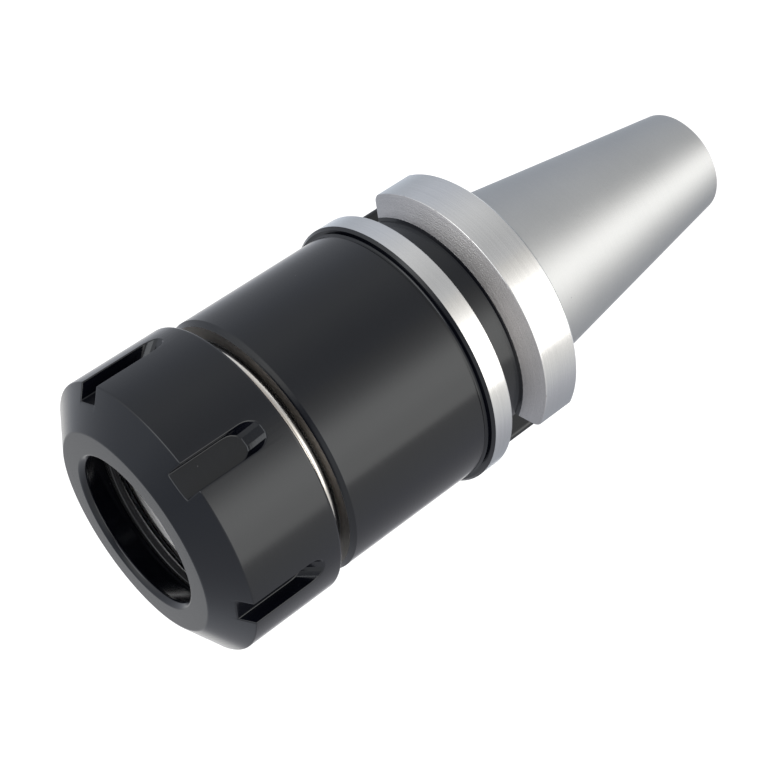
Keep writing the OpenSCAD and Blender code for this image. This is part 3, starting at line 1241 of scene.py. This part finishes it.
LEVEL_GLOWS = (
    Glow(PLAIN, {-180: 1.05, -163: 1.05}),
    Glow(DIM_COOL, {-161: 0.62, -158: 0.5, -150: 0.42, -144: 0.46, -132: 0.46, -120: 0.5,
                    -108: 0.58}),
    Glow(PLAIN, {-90: 0.8}),
    Glow(WARM, {-66.5: 1.08, -64: 2.45, -50: 2.6, -36: 3.0, -24: 2.9, -16: 2.25, -8: 1.5,
                0: 1.07, 8: 0.81}),
    Glow(PLAIN, {16: 0.67, 24: 0.64, 30: 0.63, 60: 0.8}),
    Glow(COOL, {96: 0.7, 108: 0.69, 120: 0.63, 132: 0.6, 144: 0.68, 156: 0.78}),
    Glow(PLAIN, {166: 1.0, 180: 1.05}),
)
UPPER_GLOWS = (
    Glow(COOL, {-180: 0.42, -150: 0.75}),
    Glow(DIM_COOL, {-120: 0.6}),
    Glow(PLAIN, {-90: 0.8, -50: 1.0, -25: 0.8}),
    Glow(DIM_COOL, {-10: 0.4, 10: 0.36}),
    Glow(PLAIN, {28: 0.9}),
    Glow(WARM, {50: 1.5}),
    Glow(PLAIN, {90: 1.3}),
    Glow(COOL, {120: 0.8, 150: 0.75, 180: 0.42}),
)


@dataclass(frozen=True)
class Sweep:
    """A white studio sweep round the object, with a softbox beside it and one above."""

    front: float = 87.6  # bearing of the camera, from which the others are counted
    overhead: float = 0.58  # what polished metal sees straight above
    panel: float = 3.2  # what it sees in the softbox above
    panel_bearing: float = 35.0

    # Gain and offset of shares from 0 to 1. The first four go with how high the metal
    # looks and the last one with how far it looks towards the softbox above.
    UPPER = (2.2, -0.1)
    OVERHEAD = (10.0, -9.0)
    PANEL_FOOT = (14.0, -6.0)
    PANEL_TOP = (-14.0, 11.5)
    PANEL_SIDES = (8.0, -6.0)

    def build(self) -> bpy.types.World:
        """Builds the world and returns it."""
        world = bpy.data.worlds.new("studio_sweep")
        book = NodeBook.cleared(world)
        way = book.add("TexCoord").outputs["Generated"]
        x, y, z = book.add("SeparateXYZ", {0: way}).outputs
        turned = book.maths("SUBTRACT", book.maths("ARCTAN2", y, x), radians(self.front))
        bearing = book.maths("WRAP", turned, pi, -pi)
        aside = book.maths("SUBTRACT", bearing, radians(self.panel_bearing))
        upper, top, foot, lid, sides = (
            book.maths("MULTIPLY_ADD", value, *slope, clamp=True) for value, slope in (
                (z, self.UPPER), (z, self.OVERHEAD), (z, self.PANEL_FOOT), (z, self.PANEL_TOP),
                (book.maths("COSINE", aside), self.PANEL_SIDES)))
        round_it = book.blend(upper, self._ramp(book, bearing, LEVEL_GLOWS),
                              self._ramp(book, bearing, UPPER_GLOWS))
        roofed = book.blend(top, round_it, tuple(c * self.overhead for c in COOL))
        boxed = book.maths("MULTIPLY", book.maths("MULTIPLY", foot, lid), sides)
        light = book.add("Background", {"Color": book.blend(boxed, roofed, (self.panel,) * 3)})
        white = book.add("Background", {"Color": PLAIN})
        camera_ray = book.add("LightPath").outputs["Is Camera Ray"]
        mix = book.add("MixShader", {0: camera_ray, 1: light.outputs[0], 2: white.outputs[0]})
        book.add("OutputWorld", {"Surface": mix.outputs[0]})
        bpy.context.scene.world = world
        return world

    @staticmethod
    def _ramp(book: NodeBook, bearing: NodeSocket, glows: Sequence[Glow]) -> NodeSocket:
        """Builds the ramp of some glows over the bearing and returns its colour."""
        node = book.add("ValToRGB", {"Fac": book.maths("MULTIPLY_ADD", bearing, 1 / tau, 0.5)})
        stops = [(angle / 360 + 0.5, tuple(level * c for c in glow.tint))
                 for glow in glows for angle, level in glow.levels.items()]
        elements = node.color_ramp.elements
        while len(elements) < len(stops):
            elements.new(0.5)
        for element, (position, colour) in zip(elements, stops):
            element.position, element.color = position, (*colour, 1.0)
        return node.outputs["Color"]


@dataclass(frozen=True)
class SoftLamp:
    """A soft area lamp that stands for the softboxes in light and shadow."""

    bearing: float = 47.4
    elevation: float = 42.0
    distance: float = 1.1
    aim_height: float = 0.08
    size: float = 0.8
    power: float = 3.0

    def build(self) -> Object:
        """Adds the lamp to the scene and returns it."""
        data = bpy.data.lights.new("soft_lamp", "AREA")
        data.shape, data.size, data.energy = "SQUARE", self.size, self.power
        lamp = stand("soft_lamp", data)
        a, e = radians(self.bearing), radians(self.elevation)
        aside = Vector((cos(a) * cos(e), sin(a) * cos(e), sin(e)))
        lamp.location = aside * self.distance + AXIS * self.aim_height
        lamp.rotation_mode = "QUATERNION"
        lamp.rotation_quaternion = aside.to_track_quat("Z", "Y")
        lamp.visible_glossy = False
        return lamp


@dataclass(frozen=True)
class Floor:
    """The plain pale floor that the small end of the taper stands on."""

    half_side: float = 4.0
    glow: float = 0.9
    tone: float = 0.3

    def build(self) -> Object:
        """Adds the floor to the scene and returns it."""
        bm = bmesh.new()
        bmesh.ops.create_grid(bm, x_segments=1, y_segments=1, size=self.half_side)
        floor = stand_mesh("studio_floor", bm)
        floor.data.materials.append(self._material())
        for rays in ("glossy", "diffuse", "transmission", "shadow"):
            setattr(floor, f"visible_{rays}", False)
        return floor

    def _material(self) -> Material:
        """Builds the floor's material: near white, and a little darker in shadow."""
        material = bpy.data.materials.new("studio_floor")
        book = NodeBook.cleared(material)
        paint = book.add("BsdfDiffuse", {"Color": (self.tone,) * 3})
        glow = book.add("Emission", {"Strength": self.glow})
        both = book.add("AddShader", {0: paint.outputs[0], 1: glow.outputs[0]})
        book.add("OutputMaterial", {"Surface": both.outputs[0]})
        return material


def main() -> None:
    """Loads the frame and builds the studio and the pieces in order."""
    logging.basicConfig(level=logging.INFO, format="%(name)s: %(message)s")
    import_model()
    scene = bpy.context.scene
    scene.view_settings.view_transform = "Standard"
    StudioCamera().build()
    Sweep().build()
    SoftLamp().build()
    Floor().build()
    shop = FinishShop()
    for part in (TaperHolder(shop), ClampingNut(shop), ExtractorRing(shop), SnapWire(shop)):
        report(part.build())


if __name__ == "__main__":
    main()
